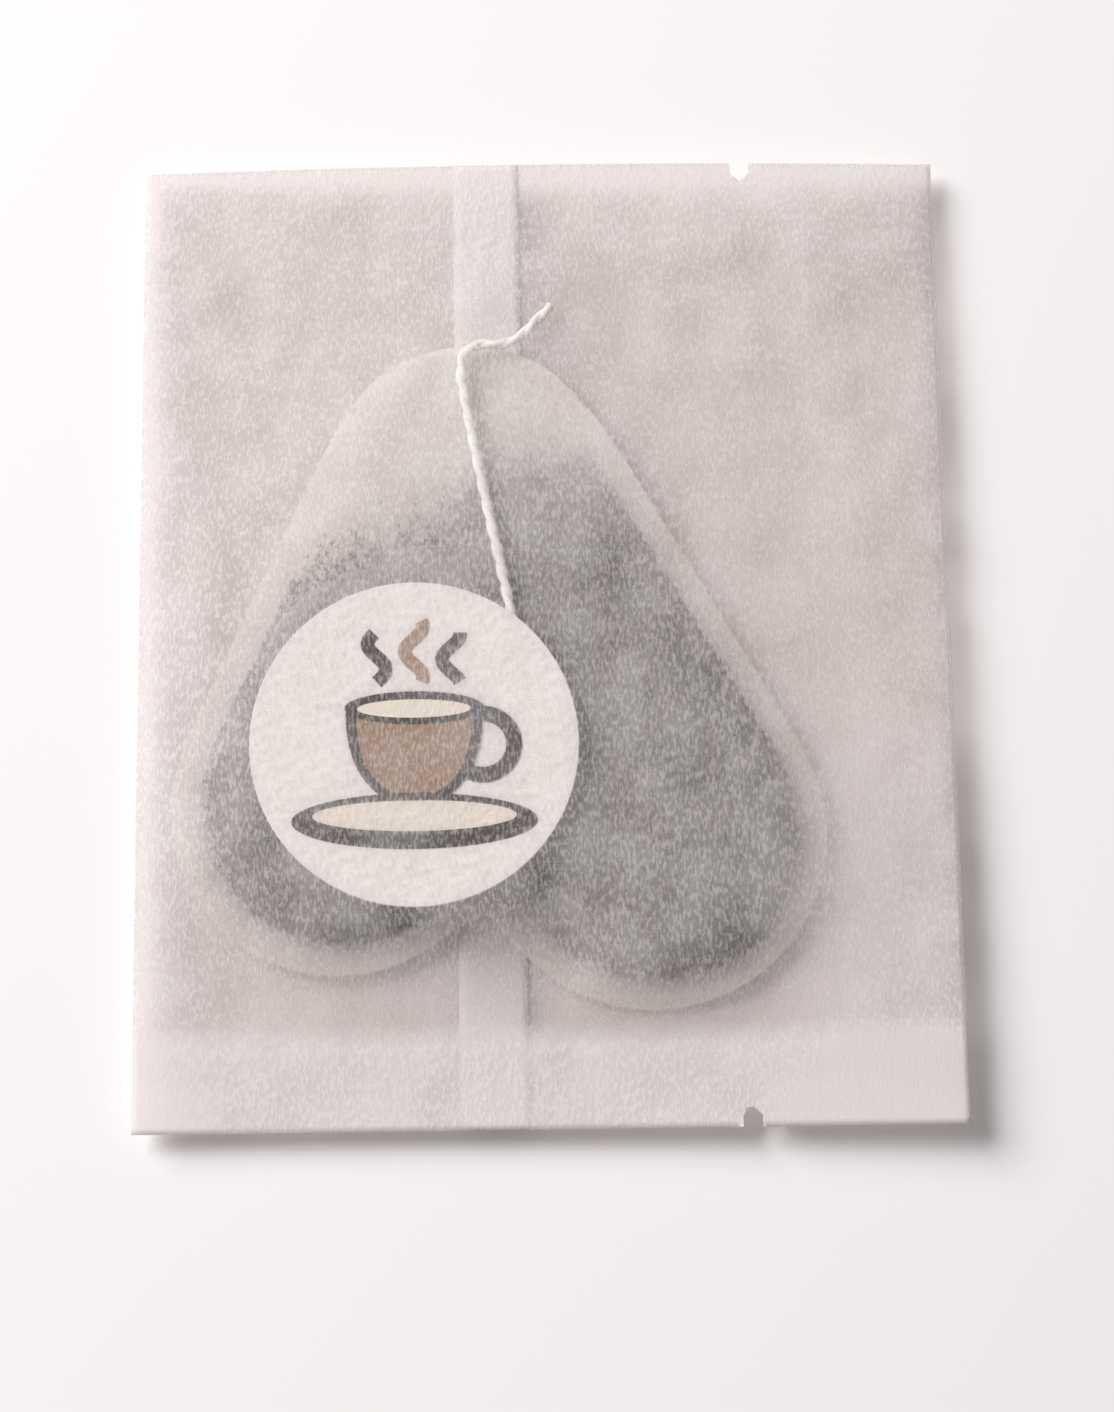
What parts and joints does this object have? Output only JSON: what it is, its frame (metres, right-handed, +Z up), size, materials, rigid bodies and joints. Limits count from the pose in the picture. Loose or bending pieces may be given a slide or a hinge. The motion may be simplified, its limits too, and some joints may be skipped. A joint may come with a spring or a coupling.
{
  "type": "tea bag",
  "caption": "Tea bag lying in its sealed, translucent paper envelope: a heart-shaped filter pouch with loose tea, a cotton string and a round paper tag.",
  "frame": {"origin": "on the surface it lies on, under the middle of the envelope", "axes": "+Y along the envelope to its top end, +X to the right as seen from above, +Z up out of the front face"},
  "size_m": [0.08, 0.097, 0.0074],
  "materials": {
    "envelope_paper": "matte, translucent and fibrous",
    "filter_paper": "matte, translucent and fibrous",
    "tea_leaf": "matte, dark cut leaf",
    "tag_card": "matte paper, printed",
    "cotton_string": "matte, two-ply"
  },
  "bodies": {
    "root": {"envelope": "envelope_paper", "pouch_front": "filter_paper", "pouch_back": "filter_paper", "tea_fill": "tea_leaf", "tag": "tag_card", "string": "cotton_string", "string_coil": "cotton_string"}
  },
  "joints": []
}
